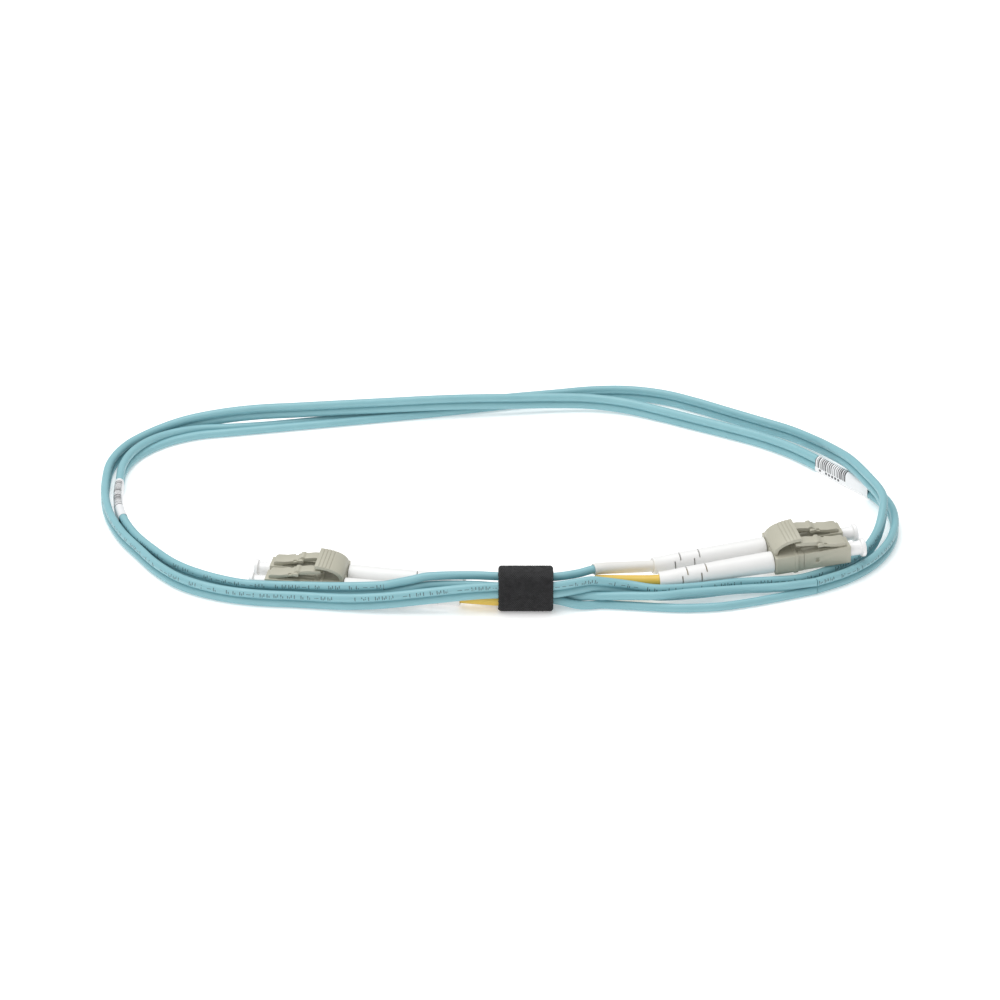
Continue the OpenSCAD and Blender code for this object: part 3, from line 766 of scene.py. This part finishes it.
def trigger(end):
    run = (TRIGGER_TIP[0] - TRIGGER_ROOT[0]) * 1.05
    rise = TRIGGER_TIP[1] - TRIGGER_ROOT[1]

    def arch(angle, wall):
        return (TRIGGER_TIP[0] + (run - wall) * math.cos(angle),
                TRIGGER_ROOT[1] + (rise - wall) * math.sin(angle))

    outer = [arch(a, 0) for a in np.radians(np.arange(180, 89, -3))]
    inner = [arch(a, TRIGGER_WALL) for a in np.radians(np.arange(90, 181, 5))]
    foot = [(0.95, 2.45), (0.6, 2.36), (0.2, 2.45)]
    made = prism(outer + inner + foot, -4.3, 4.3)
    cuts = []
    for back in GROOVES:
        x = TRIGGER_TIP[0] - back
        angle = math.acos(-back / run)
        z = arch(angle, 0)[1]
        lean = math.atan2(rise * math.cos(angle) * -1, run * math.sin(angle))
        box = block((-0.09, 0.09), (-5, 5), (-0.13, 1))
        box.data.transform(Matrix.Translation((x, 0, z)) @ Matrix.Rotation(-lean, 4, "Y"))
        cuts.append(box)
    merge(made, cuts, "DIFFERENCE")
    finish_piece(made, f"{end}_press_trigger", place(end), f"{end}_trigger", BEIGE,
                 [f"{end}_trigger"], bevel=0.06)


for name in SIDES:
    boot(name)
    sleeve(name)
    plug_housing(name)
    latch(name)
    rear_body(name)
    dust_cap(name)
for end in PLACES:
    duplex_clip(end)
    trigger(end)

for node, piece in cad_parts.items():
    for ending, material in (("_ferrule", CERAMIC), ("_ferrule_holder", NICKEL), ("_spring", STEEL),
                             ("_crimp_sleeve", CRIMP)):
        if node.endswith(ending):
            piece.data.materials.clear()
            piece.data.materials.append(material)


# ---------- labels ----------
def label(name, first, last, material):
    """A film wrapped round both strands, from one route point to another, its end lapped over."""
    turns = np.radians(np.arange(0, 181, 12))
    round_side = 1.09
    upper = [(round_side * math.cos(a), STRAND_AT + round_side * math.sin(a), math.degrees(a)) for a in turns]
    flat = [(-round_side, y, 180 + 20 * i) for i, y in enumerate((0.6, 0.2, -0.2, -0.6), 1)]
    lower = [(-x, -y, 280 + angle) for x, y, angle in upper]
    flap = [(round_side, y, 460 + 20 * i) for i, y in enumerate((-0.6, -0.2, 0.2, 0.6), 1)]
    outline = np.array(upper + flat + lower + flap)
    points = smooth(ROUTE, 12)
    s = lengths(points)
    start, stop = s[first * 12], s[last * 12]
    outer_s = np.linspace(start, stop, 60)
    line = at(points, outer_s)
    inner = outline.copy()
    inner[:, :2] *= (1.06 / round_side, 2.08 / (STRAND_AT + round_side))
    rings = np.concatenate([along_route(outline, line), along_route(inner, line)[::-1]])
    marks = np.concatenate([marks_for(outer_s - start, outline), marks_for(outer_s - start, inner)[::-1]])
    made = tube(name, rings, marks, closed=True)
    finish_piece(made, f"{name}_film", Matrix.Identity(4), CORD_BODY, material, [name])


label("label_near_a", SECOND_START + 31, SECOND_START + 33, film("label_film_a", 0.8, 13.5, -30, 140, 500, 560))
label("label_near_b", 6, 8, film("label_film_b", 8.0, 20.8, 90, 250, 262, 292))

# ---------- the hook-and-loop tie ----------
TIE_HALF = 6.35
STRAP = 0.6


def tie():
    """One strap wound once round the bundle, its end lapped over the top."""
    corners = [(-1.2, 8.55), (0.8, 8.6), (2.3, 8.3), (3.45, 7.0), (3.68, 5.2), (3.68, 3.0), (3.2, 1.1),
               (1.8, 0.36), (0, 0.31), (-1.8, 0.36), (-3.2, 1.0), (-3.68, 3.0), (-3.72, 5.2),
               (-3.55, 7.2), (-2.5, 8.75), (-1.0, 9.22), (0.8, 9.26), (2.4, 9.1), (3.3, 8.75)]
    path = smooth([(0, y, z) for y, z in corners], 14)
    s = lengths(path)[-1]
    steps = np.linspace(0, s, 230)
    path = at(path, steps)
    way = np.gradient(path, axis=0)
    way /= np.linalg.norm(way, axis=1)[:, None]
    out = np.cross(way, (1, 0, 0))
    across = np.linspace(-TIE_HALF, TIE_HALF, 74)
    rng = np.random.default_rng(7)
    ragged = rng.normal(0, 0.05, (len(steps), 2))
    knit = (np.sin(steps[:, None] * 2 * math.pi / 0.62) * np.sin(across[None] * 2 * math.pi / 0.62)
            + rng.normal(0, 0.4, (len(steps), len(across)))) * 0.05
    x = np.broadcast_to(across, knit.shape).copy()
    x[:, 0] += ragged[:, 0]
    x[:, -1] += ragged[:, 1]
    slim = np.ones(len(across))
    slim[[0, -1]] = 0.55
    turned_in = 0.35 * np.clip(np.abs(across) / TIE_HALF * 9 - 8, 0, 1) ** 2
    sheet = np.zeros((*knit.shape, 3))
    sheet[:, :, 0] = x
    sheet[:, :, 1:] = path[:, None, 1:] + out[:, None, 1:] * turned_in[None, :, None]
    offset = out[:, None] * (STRAP / 2 * slim[None] + knit)[:, :, None]
    under = out[:, None] * (STRAP / 2 * slim[None] - knit)[:, :, None]
    rings = np.concatenate([sheet + offset, (sheet - under)[:, ::-1]], axis=1)
    marks = np.zeros((*rings.shape[:2], 2))
    marks[:, :, 0] = np.concatenate([across, across[::-1]])[None] + 10
    marks[:, :, 1] = steps[:, None]
    made = tube("tie_strap", rings, marks)
    finish_piece(made, "tie_strap", Matrix.Identity(4), CORD_BODY, TIE,
                 ["hook_and_loop_tie"])


tie()
